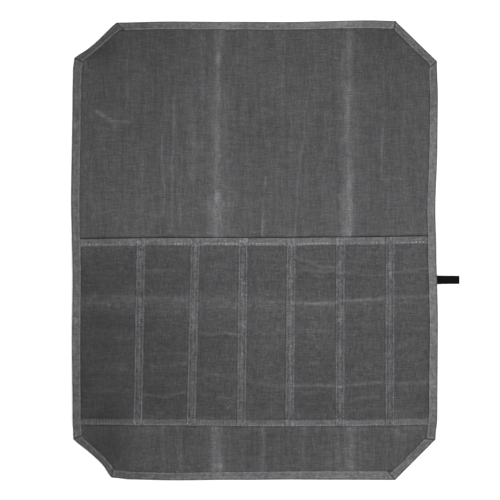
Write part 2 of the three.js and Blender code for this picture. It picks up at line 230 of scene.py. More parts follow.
def side_x(name, y, inset):
    """X of the left or right side of the outline at a height, moved in by a distance."""
    middle = EDGE_NAMES.index(name)
    places = []
    for number in (middle - 1, middle, middle + 1):
        start, end = mitre(number, inset)[1], mitre(number + 1, inset)[1]
        places.append(edge_point(number, (y - start) / (end - start), inset)[..., 0])
    return np.maximum.reduce(places) if name == "left" else np.minimum.reduce(places)


def level_y(name, x, inset):
    """Y of the lower or upper edge of the outline, moved in by a distance."""
    number = EDGE_NAMES.index(name)
    start, end = mitre(number, inset)[0], mitre(number + 1, inset)[0]
    return edge_point(number, (x - start) / (end - start), inset)[..., 1]


def inset_of(x, y):
    """How far inside the outline a point lies."""
    distances = []
    for number in range(8):
        dx, dy = x - STARTS[number, 0], y - STARTS[number, 1]
        along = (dx * RUNS[number, 0] + dy * RUNS[number, 1]) / LENGTHS[number] ** 2
        out = eased(EDGES[number][2], along) * PANEL_WIDTH
        distances.append(dx * NORMALS[number, 0] + dy * NORMALS[number, 1] + out)
    return np.minimum.reduce(distances)


# Lie of the cloth
def ride_on_tab(x, y):
    return np.where(x > 0, TAB_LIFT * ridge(y - TAB_MIDDLE, LIFT_REACH), 0)


def edge_rise(x, y, inset):
    return (EDGE_HEIGHT + ride_on_tab(x, y)) * (1 - smooth(inset, FALL_START, FALL_END))


def open_flap(y, inset):
    """1 on the open part of the flap, and 0 under the pocket panel and the binding."""
    return smooth(y, FOLD_FOOT, FOLD_FOOT + FOLD_FADE) * smooth(inset, FALL_START, FALL_END)


def fold_rise(x, y, inset):
    heights = [height * ridge(x - (at - 0.5) * PANEL_WIDTH, FOLD_WIDTH / 2) for at, height in FOLDS]
    return FOLD_HEIGHT * np.maximum.reduce(heights) * open_flap(y, inset)


def pocket_y(x, height):
    at = np.clip(x / PANEL_WIDTH + 0.5, 0, 1)
    foot = POCKET_FOOT + eased(FOOT_LINE, at) * POCKET_DEPTH
    mouth = POCKET_MOUTH + eased(MOUTH_LINE, at) * POCKET_DEPTH
    return foot + (mouth - foot) * height / POCKET_DEPTH


def pocket_height(x, y):
    foot = pocket_y(x, 0)
    return (y - foot) * POCKET_DEPTH / (pocket_y(x, POCKET_DEPTH) - foot)


def divider_x(divider, height):
    mouth, foot = divider
    return (foot + (mouth - foot) * height / POCKET_DEPTH - 0.5) * PANEL_WIDTH


def pocket_sides(height, inset):
    """X of the pocket panel's left and right sides at heights, moved in by a distance."""
    left = side_x("left", pocket_y(-PANEL_WIDTH / 2, height), inset)
    return left, side_x("right", pocket_y(PANEL_WIDTH / 2, height), inset)


def pocket_limits(height):
    """Left and right limits of the seven pockets at heights."""
    flat = DIVIDER_WIDTH / 2 + 2 * LAYER_GAP
    left, right = pocket_sides(height, FALL_START)
    middles = [divider_x(divider, height) for divider in DIVIDERS]
    lefts = [left] + [middle + flat for middle in middles]
    rights = [middle - flat for middle in middles] + [right]
    return list(zip(lefts, rights))


def pocket_arch(x, height):
    """Share of its full gape at which each pocket's front stands, and the gape itself."""
    arch = np.zeros(np.broadcast(x, height).shape)
    gape = np.zeros_like(arch)
    for share, (left, right) in zip(GAPES, pocket_limits(height)):
        across = np.clip((x - left) / (right - left), 0, 1)
        arch = np.maximum(arch, np.sin(np.pi * across) ** ARCH_FULLNESS)
        gape = np.where((x > left) & (x < right), share * POCKET_GAPE, gape)
    start = LOWER_HEM + HEM_STEP
    return arch * smooth(height, start, start + POCKET_FADE), gape


def crease_sink(height):
    sinks = [sink * ridge(height - at * POCKET_DEPTH, CREASE_WIDTH / 2) for at, sink in CREASES]
    return CREASE_DEPTH * np.maximum.reduce(sinks)


def pocket_seat(x, y):
    inset = np.minimum(x - side_x("left", y, 0), side_x("right", y, 0) - x)
    return edge_rise(x, y, inset) + PANEL_WALL + LAYER_GAP


def on_lower_hem(height, before, after):
    """1 on the pocket panel's lower hem and 0 above it, eased from before its end to after it."""
    return 1 - smooth(height, LOWER_HEM - before, LOWER_HEM + after)


def on_upper_hem(height, before, after):
    return smooth(height, UPPER_HEM_FOOT - before, UPPER_HEM_FOOT + after)


def pocket_thickness(height):
    hems = np.maximum(on_lower_hem(height, 0.1, 0.7), on_upper_hem(height, 0.7, 0.1))
    return POCKET_WALL + HEM_FOLD * hems


def rolled(distance, radius):
    """Share of its thickness that a cloth's rounded edge has at a distance from the edge."""
    return np.sqrt(1 - (1 - np.clip(distance / radius, 0, 1)) ** 2)


# Marks in the wax, and beside the pockets' creases some painted shade: a line of points, its width,
# how much lighter it is and, if it is crisp, how steeply it ends
FLAP_MARKS = [
    ([(-46, 200), (-45, 100), (-43, 18)], 28, 0.2),
    ([(-46, 244), (-47, 200), (-48, 150), (-48.5, 66)], 8.5, 0.46),
    ([(-49, 276), (-47, 236)], 6, 0.2),
    ([(-40, 276), (-45, 236)], 6.5, 0.36),
    ([(-50, 62), (-50, 14)], 19, 0.37, 5),
    ([(-48, 66), (-48, 14)], 7, 0.26),
    ([(-33, 60), (-32, 14)], 13, 0.12, 4),
    ([(115, 196), (115, 100), (117, 18)], 26, 0.25),
    ([(115, 250), (115, 200)], 24, 0.05),
    ([(118, 276), (117.5, 236), (115, 165), (115.5, 130), (118, 80)], 9, 0.58),
    ([(110, 262), (109, 215), (113, 180)], 6, 0.32),
    ([(114, 66), (114, 14)], 18, 0.34, 5),
    ([(117, 80), (116, 14)], 8, 0.32),
    ([(-101.5, 190), (-103, 120), (-103, 24)], 3, 0.4),
    ([(-116.5, 142), (-115.5, 96), (-113, 80), (-113.5, 48)], 2.4, 0.55),
    ([(-102, 100), (-100.5, 60), (-101, 20)], 2.4, 0.22),
    ([(-91, 120), (-92, 40)], 3, 0.18),
    ([(-84, 196), (-80, 140), (-78, 90)], 11, 0.18),
    ([(-104, 230), (-104, 60)], 26, 0.05),
    ([(65, 190), (60, 130), (52, 80), (51, 20)], 2.8, 0.36),
    ([(13, 90), (9.5, 60), (9.5, 18)], 2.8, 0.46),
    ([(35, 230), (34, 158)], 5, 0.28),
    ([(159, 152), (158, 88)], 2.6, 0.5),
    ([(-159, 238), (-158, 188)], 4, 0.2),
    ([(-198, 173.5), (-190, 168.5), (-180, 162.8)], 3.8, 0.85),
    ([(-178, 161.5), (-168, 162), (-157, 161.5)], 3.6, 0.5),
    ([(-179, 161), (-174, 156)], 3.4, 0.3),
    ([(-140, 116), (-141, 50)], 5, 0.18),
    ([(0, 178), (26, 172), (62, 174), (96, 170)], 5, 0.14),
    ([(88, 130), (86, 40)], 6, 0.1),
    ([(-10, 140), (-12, 40)], 7, 0.08),
    ([(-212, 236), (-209, 222)], 4, 0.3),
    ([(-49, -216), (-48, -280)], 15, 0.52, 4),
    ([(-46, -216), (-45, -280)], 34, 0.16),
    ([(-45, -236), (-44, -280)], 5, 0.3),
    ([(120, -216), (120.5, -280)], 6.5, 0.62),
    ([(119, -216), (119, -280)], 34, 0.33),
    ([(9.7, -216), (9.7, -276)], 5, 0.4),
    ([(63, -216), (62, -276)], 5.5, 0.32),
    ([(-115, -216), (-114, -276)], 5, 0.24),
    ([(-94, -216), (-94, -276)], 6, 0.18),
    ([(171, -224), (184, -230), (196, -231)], 4, 0.42),
]

# Marks whose lightness is below zero darken the cloth: painted shade beside the creases across the
# pockets
POCKET_MARKS = [
    ([(-215, -64), (-140, -63)], 13.5, 0.34, 3),
    ([(-140, -62), (-86, -62)], 13.5, 0.28, 3),
    ([(-72, -63), (-30, -66)], 15, 0.15, 3),
    ([(-30, -68), (98, -70), (219, -63)], 18, 0.06),
    ([(-215, -58), (-160, -57), (-84, -60)], 4, 0.2),
    ([(-10, -65.5), (22, -65.5)], 7.4, 0.2),
    ([(-8, -70.6), (22, -70.2)], 1.8, -0.14),
    ([(20, -64), (39, -64)], 4.4, 0.32),
    ([(46, -64.8), (98, -65), (118, -61.5), (150, -60), (175, -58), (219, -57)], 4.4, 0.52),
    ([(44, -65), (98, -65.5)], 4.6, 0.3),
    ([(-137, -24), (-84, -24)], 4.2, 0.42),
    ([(-213, -27), (-190, -26.4), (-150, -24.6)], 3, 0.12),
    ([(-68, -20), (-18, -21)], 4, 0.18),
    ([(48, -8), (66, -14), (82, -20.5), (101, -20.5)], 3, 0.42),
    ([(50, -25), (98, -25.5), (122, -28), (132, -30.5), (163, -30.5)], 3, 0.3),
    ([(175, -26), (200, -24.5), (219, -22)], 3, 0.36),
    ([(60, -36), (150, -42)], 16, -0.07),
    ([(-215, -88), (-160, -90), (-130, -93)], 16, -0.08),
    ([(-213, -101), (-160, -100)], 5, 0.16),
    ([(-70, -101.5), (-62, -104), (-54, -104.8), (-46, -102.6), (-40, -101.4),
      (-18, -103.6)], 3.8, 0.46),
    ([(-72, -107), (-30, -108)], 5, -0.1),
    ([(26, -98), (56, -99), (98, -98)], 5, 0.2),
    ([(-134, -129), (-110, -131), (-86, -129)], 4.4, 0.28),
    ([(-106, -137.8), (-85, -138)], 2.2, -0.16),
    ([(-130, -143.6), (-112, -143.6), (-99, -143.6), (-86, -141.4)], 4.6, 0.5),
    ([(-213, -145), (-160, -146)], 6, 0.22),
    ([(-68, -153), (-20, -155)], 7, 0.1),
    ([(-60, -152), (-30, -157), (-4, -164), (30, -166), (56, -168), (98, -169)], 4, 0.34),
    ([(50, -168.5), (98, -168.5)], 3.4, 0.3),
    ([(104, -169), (130, -166), (152, -163), (186, -166), (219, -163)], 4.2, 0.52),
    ([(-214, -173.5), (-205, -175.4), (-188, -176), (-176, -175.2), (-153, -175.6)], 3.6, 0.38),
    ([(-139, -179.6), (-127.5, -181.4), (-117, -182.6), (-109, -182.6), (-100.4, -179.8),
      (-95.6, -177.4), (-87, -176)], 4, 0.72),
    ([(-45, -183), (-28, -183)], 2.6, 0.34),
    ([(120, -187), (137, -183), (155, -181)], 4.4, 0.36),
    ([(-33.3, -195.9), (-30.1, -191.6)], 1.6, 1.7),
    ([(-35.5, -193), (-30.2, -187)], 1.6, 0.3),
]


def mark_strength(x, y, points, width, steepness=2):
    """1 on the middle of a mark's line and almost 0 beyond its width."""
    nearest = np.full(np.shape(x), np.inf)
    for (ax, ay), (bx, by) in zip(points, points[1:]):
        run_x, run_y = bx - ax, by - ay
        t = np.clip(((x - ax) * run_x + (y - ay) * run_y) / (run_x ** 2 + run_y ** 2), 0, 1)
        nearest = np.minimum(nearest, np.hypot(x - ax - t * run_x, y - ay - t * run_y))
    return np.exp(-((2 * nearest / width) ** steepness))


def marks_at(x, y, marks, seed):
    """How much lighter the marks make the cloth: broken up along their lines."""
    wander = 1.1 * lattice_noise(x, y, 24, 24, seed)
    total = np.zeros(np.shape(x))
    for number, (points, width, light, *steepness) in enumerate(marks):
        worn = 1 + 0.4 * lattice_noise(x, y, 14, 14, seed + 1 + number)
        total += light * mark_strength(x + wander, y + wander, points, width, *steepness) * worn
    return total


def flap_marks(x, y):
    return marks_at(x, y, FLAP_MARKS, 20)


def pocket_marks(x, y):
    return marks_at(x, y, POCKET_MARKS, 60)


# How light the flap and the pockets are, by height
FLAP_LEVELS = [
    (-286, 0.92), (-250, 0.87), (-233, 0.82), (-222, 0.9), (20, 1.07), (63, 1.05), (107, 1),
    (151, 0.96), (195, 0.93), (236, 0.89), (286, 0.9),
]
POCKET_LEVELS = [
    (-218, 0.84), (-199, 0.82), (-165, 0.87), (-124, 0.91), (-90, 0.97), (-66, 1.03), (-45, 0.95),
    (-10, 1), (16, 1.02),
]

# Broad light and dark patches, among them painted shade that darkens the lower left and the upper
# corners: X and Y of the middle, half-widths along X and Y, change of tone
PATCHES = [
    (-195, 180, 72, 110, -0.15), (-165, 275, 85, 42, -0.24), (-180, 215, 50, 35, -0.09),
    (-193, 251, 20, 20, -0.2), (204, -246, 14, 14, -0.14), (-100, 140, 40, 110, -0.05),
    (168, 272, 48, 42, -0.19), (-205, 50, 36, 60, -0.06), (-165, 30, 30, 26, 0.03),
    (-66, 130, 26, 90, 0.04), (-198, -105, 58, 135, -0.47), (-200, -205, 50, 34, -0.1),
    (-108, -115, 36, 130, -0.25), (-50, -140, 30, 80, -0.12), (-184, -256, 28, 42, -0.32),
    (188, -240, 32, 42, 0.13), (55, -100, 10, 130, 0.09), (116, -100, 10, 130, 0.04),
    (181, -100, 12, 130, 0.1), (-101, 222, 26, 50, -0.1), (-23, 200, 18, 26, -0.09),
    (-128, 158, 22, 30, -0.08), (-77, 136, 13, 12, 0.13), (-28, 136, 10, 12, 0.08),
    (132, 238, 8, 16, 0.13), (76, 212, 16, 40, 0.06), (149, 168, 16, 26, -0.08),
    (-138, 46, 28, 24, 0.1), (24, 44, 16, 24, 0.08), (-151, 250, 16, 26, 0.1),
    (-120, -23, 110, 11, -0.09), (-135, -75, 75, 8, 0.12), (150, -88, 18, 21, -0.15),
    (122, -110, 12, 9, 0.11), (-45, -41, 22, 9, -0.09), (-206, -200, 12, 9, 0.12),
    (150, -272, 12, 10, -0.13), (80, -262, 30, 12, 0.07), (200, -76, 20, 24, -0.16),
    (-206, -120, 14, 20, 0.08), (-56, -164, 14, 20, 0.09), (186, -170, 10, 16, 0.13),
    (-122, -180, 30, 11, -0.13), (148, -180, 16, 13, -0.1), (-172, -230, 28, 9, 0.12),
    (0, -252, 18, 40, -0.12), (176, -250, 18, 26, -0.1), (-130, -273, 50, 9, -0.14),
]


def patch_tone(x, y, levels):
    """Broad tone of the cloth: its level by height, its patches, some of them painted shade, and soft
    mottling.
    """
    tone = eased(levels, y)
    for middle_x, middle_y, half_x, half_y, change in PATCHES:
        across, up = (x - middle_x) / half_x, (y - middle_y) / half_y
        tone += change * np.exp(-(across ** 2) - up ** 2)
    return tone + 0.04 * lattice_noise(x, y, 60, 75, 3) + 0.05 * lattice_noise(x, y, 21, 26, 4)


def binding_shade_tone(inset):
    """Painted shade: the cloth is a little darker along the inner edge of the binding."""
    return 1 - 0.06 * bell(inset - BINDING_WIDTH, 2)


# Meshes
def add_mesh(name, vertices, faces, material, tone=None):
    """A mesh of vertices in millimetres, with a tone for each vertex that scales its colour."""
    mesh = bpy.data.meshes.new(name)
    mesh.from_pydata((np.asarray(vertices) * MM).tolist(), [], faces)
    mesh.shade_smooth()
    if tone is not None:
        attribute = mesh.attributes.new("tone", "FLOAT", "POINT")
        attribute.data.foreach_set("value", np.asarray(tone, np.float32).ravel())
    mesh.materials.append(material)
    made = bpy.data.objects.new(name, mesh)
    bpy.context.scene.collection.objects.link(made)
    return made


def net_quads(numbers):
    """Quads of a net whose points have these numbers, row by row."""
    corners = numbers[:-1, :-1], numbers[:-1, 1:], numbers[1:, 1:], numbers[1:, :-1]
    return np.stack([corner.ravel() for corner in corners], axis=1)


def border(numbers):
    """Numbers of a net's border points, anticlockwise and back to the first."""
    sides = numbers[0, :-1], numbers[:-1, -1], numbers[-1, :0:-1], numbers[::-1, 0]
    return np.concatenate(sides).tolist()


def cloth_net(name, x, y, top, bottom, material, tone):
    """Closed cloth: a fine net of top points, and a net of half as many bottom points."""
    upper = np.stack([x, y, top], -1)
    lower = np.stack([x, y, bottom], -1)[::2, ::2]
    fine = np.arange(x.size).reshape(x.shape)
    coarse = x.size + np.arange(x[::2, ::2].size).reshape(lower.shape[:2])
    faces = net_quads(fine).tolist() + net_quads(coarse)[:, ::-1].tolist()
    rim, rim_below = border(fine), border(coarse)
    for k in range(len(rim_below) - 1):
        a, b, c = rim[2 * k:2 * k + 3]
        faces.append([c, b, a, rim_below[k], rim_below[k + 1]])
    vertices = np.concatenate([upper.reshape(-1, 3), lower.reshape(-1, 3)])
    all_tones = np.append(tone.ravel(), np.ones(coarse.size))
    return add_mesh(name, vertices, faces, material, all_tones)


def stops(*spans):
    """Joined runs of evenly spaced places. Each span is a start, an end and a step."""
    runs = []
    for start, end, step in spans:
        count = max(1, round((end - start) / step))
        runs.append(np.linspace(start, end, count, endpoint=False))
    return np.append(np.concatenate(runs), spans[-1][1])


def odd(places):
    """The same places, with one more halfway along the first step if their number is even."""
    if len(places) % 2:
        return places
    return np.insert(places, 1, (places[0] + places[1]) / 2)


# Shader nodes
def put(tree, kind, values, output=0, **settings):
    made = tree.nodes.new(kind)
    for name, value in settings.items():
        setattr(made, name, value)
    for key, value in values.items():
        if isinstance(value, bpy.types.NodeSocket):
            tree.links.new(value, made.inputs[key])
        else:
            made.inputs[key].default_value = value
    return made.outputs[output] if made.outputs else None


def math_node(tree, operation, a, b=0.0, c=0.0):
    return put(tree, "ShaderNodeMath", {0: a, 1: b, 2: c}, operation=operation)


def noise_node(tree, place, scale, detail=2.0):
    """Noise from 0 to 1 with lumps of 1 / scale metres along each axis."""
    moved = put(tree, "ShaderNodeVectorMath", {0: place, 1: scale}, operation="MULTIPLY")
    return put(tree, "ShaderNodeTexNoise", {"Vector": moved, "Scale": 1.0, "Detail": detail})


def varied(tree, tone, noise, amount):
    """Tone changed by up to an amount either way, as a noise from 0 to 1 says."""
    change = math_node(tree, "MULTIPLY_ADD", noise, 2 * amount, 1 - amount)
    return math_node(tree, "MULTIPLY", tone, change)


def object_place(tree):
    return put(tree, "ShaderNodeTexCoord", {}, output=3)


def tone_attribute(tree):
    return put(tree, "ShaderNodeAttribute", {}, output=2, attribute_name="tone")


def thread_height(tree, place, pitch):
    """Height of a plain weave: rounded threads that pass over and under one another."""
    waver = noise_node(tree, place, (220, 220, 220), 1)
    shifted = put(tree, "ShaderNodeVectorMath", {0: place, 1: (math.pi / pitch,) * 3},
                  operation="MULTIPLY")
    shift = math_node(tree, "MULTIPLY", waver, 2.2)
    split = put(tree, "ShaderNodeSeparateXYZ", {"Vector": shifted}).node
    warp = math_node(tree, "SINE", math_node(tree, "ADD", split.outputs[0], shift))
    weft = math_node(tree, "SINE", math_node(tree, "ADD", split.outputs[1], shift))
    over = math_node(tree, "MULTIPLY", warp, weft)
    rounded_warp = math_node(tree, "ABSOLUTE", warp)
    rounded_weft = math_node(tree, "ABSOLUTE", weft)
    picked = math_node(tree, "GREATER_THAN", over, 0.0)
    return put(tree, "ShaderNodeMix", {"Factor": picked, "A": rounded_warp, "B": rounded_weft})


def new_material(name):
    material = bpy.data.materials.new(name)
    material.use_nodes = True
    material.node_tree.nodes.clear()
    return material, material.node_tree


def finish_material(tree, color, tone, height, relief, roughness, sheen, specular=0.25):
    """Surface whose colour is color times tone, with bump from height in metres of relief."""
    shift = noise_node(tree, object_place(tree), (55, 45, 55), 3)
    warm = tuple(value * share for value, share in zip(color, (1.05, 1, 0.95)))
    cool = tuple(value * share for value, share in zip(color, (0.95, 1, 1.05)))
    mixed = put(tree, "ShaderNodeMix", {"Factor": shift, 6: (*cool, 1), 7: (*warm, 1)}, output=2,
                data_type="RGBA")
    tint = put(tree, "ShaderNodeVectorMath", {0: mixed, "Scale": tone}, operation="SCALE")
    bump = put(tree, "ShaderNodeBump", {"Height": height, "Strength": 1.0, "Distance": relief})
    surface = put(tree, "ShaderNodeBsdfPrincipled", {
        "Base Color": tint, "Roughness": roughness, "Normal": bump,
        "Specular IOR Level": specular, "Sheen Weight": sheen, "Sheen Roughness": 0.5,
    })
    put(tree, "ShaderNodeOutputMaterial", {"Surface": surface})


def waxed_canvas(name, color, pitch, streak, grain=0.5):
    """Waxed canvas: weave, slubs, grain, streaks of worn wax along streak, and broad mottling."""
    material, tree = new_material(name)
    place = object_place(tree)
    tone = tone_attribute(tree)
    for scale, detail, amount in (
        ((520, 520, 520), 2, grain), ((700, 80, 300), 1, 0.8 * grain),
        ((80, 700, 300), 1, 0.8 * grain), (streak, 4, 0.32),
        ((35, 30, 30), 4, 0.13), ((130, 110, 110), 2, 0.12),
    ):
        tone = varied(tree, tone, noise_node(tree, place, scale, detail), amount)
    weave = thread_height(tree, place, pitch)
    tone = varied(tree, tone, weave, 0.1)
    fleck = math_node(tree, "SUBTRACT", noise_node(tree, place, (430, 430, 430), 2), 0.6)
    fleck = math_node(tree, "MULTIPLY_ADD", math_node(tree, "MAXIMUM", fleck, 0.0), 4.0, 1.0)
    tone = math_node(tree, "MULTIPLY", tone, fleck)
    worn = noise_node(tree, place, (60, 60, 60), 3)
    roughness = math_node(tree, "MULTIPLY_ADD", worn, 0.25, 0.58)
    finish_material(tree, color, tone, weave, 0.00022, roughness, 0.06)
    return material


def thread_material(name, color):
    """Sewing thread: two twisted plies and fine fuzz."""
    material, tree = new_material(name)
    place = object_place(tree)
    slanted = put(tree, "ShaderNodeVectorMath", {0: place, 1: (1.0, 1.0, 0.6)},
                  operation="DOT_PRODUCT", output=1)
    twist = math_node(tree, "SINE", math_node(tree, "MULTIPLY", slanted, 9000.0))
    height = math_node(tree, "MULTIPLY_ADD", twist, 0.5, 0.5)
    stitch = tone_attribute(tree)
    tone = math_node(tree, "MULTIPLY", stitch, math_node(tree, "MULTIPLY_ADD", height, 0.3, 0.85))
    tone = varied(tree, tone, noise_node(tree, place, (900, 900, 900), 2), 0.3)
    finish_material(tree, color, tone, height, 0.00006, 0.6, 0.1)
    return material


def webbing_material(name, color):
    """Narrow woven webbing: close ribs across it, and slanting threads on each rib."""
    material, tree = new_material(name)
    place = object_place(tree)
    split = put(tree, "ShaderNodeSeparateXYZ", {"Vector": place}).node
    ribs, wales = (
        math_node(tree, "SINE", math_node(tree, "MULTIPLY", split.outputs[axis], 2 * math.pi / pitch))
        for axis, pitch in ((0, 0.0011), (1, 0.0009))
    )
    height = math_node(tree, "MULTIPLY_ADD", math_node(tree, "MULTIPLY", ribs, wales), 0.5, 0.5)
    tone = varied(tree, height, noise_node(tree, place, (700, 700, 700), 2), 0.25)
    tone = math_node(tree, "MULTIPLY_ADD", tone, 0.5, 0.7)
    finish_material(tree, color, tone, height, 0.0002, 0.7, 0.0, 0.035)
    return material


def plain_material(name, color, roughness):
    material, tree = new_material(name)
    surface = put(tree, "ShaderNodeBsdfPrincipled", {
        "Base Color": (*color, 1), "Roughness": roughness, "Specular IOR Level": 0.1,
    })
    put(tree, "ShaderNodeOutputMaterial", {"Surface": surface})
    return material


PANEL_CANVAS = waxed_canvas("panel_canvas", (0.0575, 0.0563, 0.0583), 0.00085, (190, 9, 9))
POCKET_CANVAS = waxed_canvas("pocket_canvas", (0.0555, 0.0545, 0.0564), 0.00085, (9, 190, 9), 0.56)
BINDING_TAPE = waxed_canvas("binding_tape", (0.0975, 0.0957, 0.0987), 0.0007, (120, 120, 9), 0.4)
STRIP_TAPE = waxed_canvas("strip_tape", (0.0805, 0.0788, 0.083), 0.0007, (120, 30, 9), 0.55)
THREAD = thread_material("sewing_thread", (0.115, 0.113, 0.118))
WEBBING = webbing_material("webbing", (0.0038, 0.0038, 0.0036))


# Main panel: the runs of X where its thin streaks are
STREAKED = [(-120, -89), (-56, -38), (5, 15), (48, 68), (106, 124), (154, 163)]


def flap_waves(x, y, inset):
    """Slight unevenness of the flap, which lies still under the pockets and the binding."""
    broad = 1 + lattice_noise(x, y, 55, 90, 11)
    fine = 1 + lattice_noise(x, y, 9, 34, 12)
    return (0.22 * broad + 0.07 * fine) * open_flap(y, inset)


def panel_spans():
    """Runs of columns, as shares of the width: close together where thin streaks are."""
    spans, start = [], -PANEL_WIDTH / 2
    for low, high in STREAKED:
        spans += [(start, low, 1.7), (low, high, 0.75)]
        start = high
    spans.append((start, PANEL_WIDTH / 2, 1.7))
    return [(low / PANEL_WIDTH + 0.5, high / PANEL_WIDTH + 0.5, step / PANEL_WIDTH)
            for low, high, step in spans]


def panel_rows():
    """Places of the rows along Y: close together at the hems of the pocket panel."""
    half, foot, mouth = PANEL_LENGTH / 2, POCKET_FOOT, POCKET_MOUTH
    return odd(stops((-half, foot - 4, 2), (foot - 4, foot + 3, 0.6), (foot + 3, mouth - 3, 9),
                     (mouth - 3, mouth + 5, 0.45), (mouth + 5, half, 2.2)))


def net_in_outline(share, across, inset):
    """X and Y of places at shares of the outline's length and width, moved in by a distance."""
    x = (across - 0.5) * PANEL_WIDTH
    y = (share - 0.5) * PANEL_LENGTH
    for _ in range(6):
        low, high = level_y("lower", x, inset), level_y("upper", x, inset)
        y = low + (high - low) * share
        left, right = side_x("left", y, inset), side_x("right", y, inset)
        x = left + (right - left) * across
    return x, y


def panel_tone(x, y, inset, marks):
    """Tone of the main panel, with painted shade and light beside the two hems of the pocket panel: a
    painted shadow line close along each hem, and painted light a few millimetres off.
    """
    above = y - pocket_y(x, POCKET_DEPTH)
    below = pocket_y(x, 0) - y
    # Painted shadow lines along the pocket panel's mouth and foot, and painted light a little further
    # off
    hem_shade_and_light = 1 + 0.14 * bell(above - 5, 5) - 0.72 * bell(above - 0.95, 0.95)
    hem_shade_and_light += 0.06 * bell(below - 3, 3) - 0.16 * bell(below - 0.4, 0.9)
    return patch_tone(x, y, FLAP_LEVELS) * (1 + marks) * binding_shade_tone(inset) * hem_shade_and_light


def main_panel():
    inset_edge = BINDING_WALL + LAYER_GAP
    share, across = np.meshgrid((panel_rows() + PANEL_LENGTH / 2) / PANEL_LENGTH,
                                odd(stops(*panel_spans())), indexing="ij")
    x, y = net_in_outline(share, across, inset_edge)
    inset = inset_of(x, y)
    marks = flap_marks(x, y)
    bottom = edge_rise(x, y, inset) + fold_rise(x, y, inset) + flap_waves(x, y, inset)
    open_cloth = smooth(y, FOLD_FOOT, FOLD_FOOT + RAMP_LENGTH)
    top = bottom + PANEL_WALL + 0.7 * marks * open_cloth
    tone = panel_tone(x, y, inset, marks)
    cloth = cloth_net("canvas_panel", x, y, top, bottom, PANEL_CANVAS, tone)
    return cloth


def pocket_front(x, height):
    """Y, underside and marks of the pocket panel's front at places on it."""
    y = pocket_y(x, height)
    arch, gape = pocket_arch(x, height)
    marks = pocket_marks(x, y)
    waves = 0.28 * lattice_noise(x, y, 22, 30, 70) + 0.16 * lattice_noise(x, y, 40, 8, 71)
    rise = (gape - crease_sink(height) + waves + 0.8 * marks) * arch
    return y, pocket_seat(x, y) + rise, marks


def pocket_rows():
    """Heights of the pocket panel's rows: close together at its edges, its hems and a scratch."""
    low, high, top = LOWER_HEM, UPPER_HEM_FOOT, POCKET_DEPTH
    return odd(stops(
        (0, 0.3, 0.1), (0.3, 1.5, 0.4), (1.5, low - 0.6, 0.9), (low - 0.6, low + 1.2, 0.3),
        (low + 1.2, 20, 1.1), (20, 29, 0.6), (29, high - 1.2, 1.1), (high - 1.2, high + 0.6, 0.3),
        (high + 0.6, top - 1.5, 0.9), (top - 1.5, top - 0.3, 0.4), (top - 0.3, top, 0.1),
    ))


# How light the two hems are along X, and the divider strips by height
MOUTH_LIGHT = [
    (-205, 0.95), (-172, 0.88), (-137, 1.03), (-90, 1.13), (-60, 1.03), (-32, 1.05), (-8, 0.93),
    (22, 0.98), (47, 1.13), (90, 1.02), (130, 0.93), (165, 0.9), (180, 0.98), (200, 0.82),
]
FOOT_LIGHT = [
    (-208, 1.14), (-188, 1.24), (-148, 0.97), (-118, 1.13), (-85, 1.13), (-65, 1.02), (18, 0.96),
    (55, 1.04), (75, 1.15), (100, 1.02), (143, 0.95), (220, 0.98),
]
STRIP_LEVELS = [
    (0, 0.87), (14, 0.89), (45, 0.95), (70, 0.95), (97, 1.03), (115, 0.93), (136, 1.05),
    (167, 0.96), (202, 1),
]


def hem_tone(height, x):
    """Hems are worn lighter, most of all along their folded edges and their stitches."""
    up = POCKET_DEPTH - height
    upper = 1 - smooth(up, UPPER_HEM - 0.4, UPPER_HEM + 0.5)
    lower = on_lower_hem(height, 0.7, 0.1)
    stitched = 0.9 * bell(up - 7.1, 1.3) + 0.64 * bell(height - 1.2, 1.2)
    blotches = 0.18 * lattice_noise(x, height, 9, 5, 80) + 0.34 * lattice_noise(x, height, 2.6, 2.4, 81)
    tone = 1 + upper * (0.92 + blotches) + lower * (0.85 + blotches) + 0.32 * stitched
    mouth_light, foot_light = eased(MOUTH_LIGHT, x), eased(FOOT_LIGHT, x)
    return tone * (1 + upper * (mouth_light - 1) + lower * (foot_light - 1))


def from_strips(x, height):
    """Distance from the middle line of the nearest divider strip."""
    return np.minimum.reduce([np.abs(x - divider_x(divider, height)) for divider in DIVIDERS])


def pocket_panel():
    # The columns are close together at the scratch
    columns = odd(stops((0, 0.42, 0.0035), (0.42, 0.445, 0.0013), (0.445, 1, 0.0035)))
    height, across = np.meshgrid(pocket_rows(), columns, indexing="ij")
    left, right = pocket_sides(height, BINDING_WIDTH - POCKET_TUCK)
    x = left + (right - left) * across
    y, bottom, marks = pocket_front(x, height)
    thickness = pocket_thickness(height)
    full = np.minimum(rolled(height, 0.8), rolled(POCKET_DEPTH - height, 0.8))
    top = bottom + thickness * (0.5 + 0.5 * full)
    bottom = bottom + thickness * 0.5 * (1 - full)
    # Painted shade along the inner edge of the binding
    shade_by_binding = binding_shade_tone(inset_of(x, y))
    tone = patch_tone(x, y, POCKET_LEVELS) * (1 + marks) * hem_tone(height, x) * shade_by_binding
    # Painted light: the pocket cloth is a little lighter just beside each divider strip, against the
    # shade that falls there
    tone *= 1 + 0.14 * bell(from_strips(x, height) - DIVIDER_WIDTH / 2 - 1, 1.8)
    cloth = cloth_net("canvas_pockets", x, y, top, bottom, POCKET_CANVAS, tone)
    return cloth


# Divider strips, from the middle line to either side: share of the wall's thickness, tone, and
# tone over the hems
STRIP_SECTION = mirrored([
    (0, 1), (1, 0.95), (1.9, 0.74), (2.5, 0.52), (3.1, 0.68), (3.75, 0.66), (4.4, 0.8),
    (5.1, 0.86), (5.6, 0.78), (5.9, 0.55), (6, 0.3),
])
STRIP_TONES = mirrored([
    (0, 1.26), (1.7, 1.1), (2.8, 0.84), (3.6, 0.92), (4.6, 1.06), (5.4, 1.1), (6, 1.04),
])
STRIP_HEM_TONES = mirrored([(0, 1.46), (2, 1.66), (3.8, 1.84), (5, 1.72), (6, 1.35)])

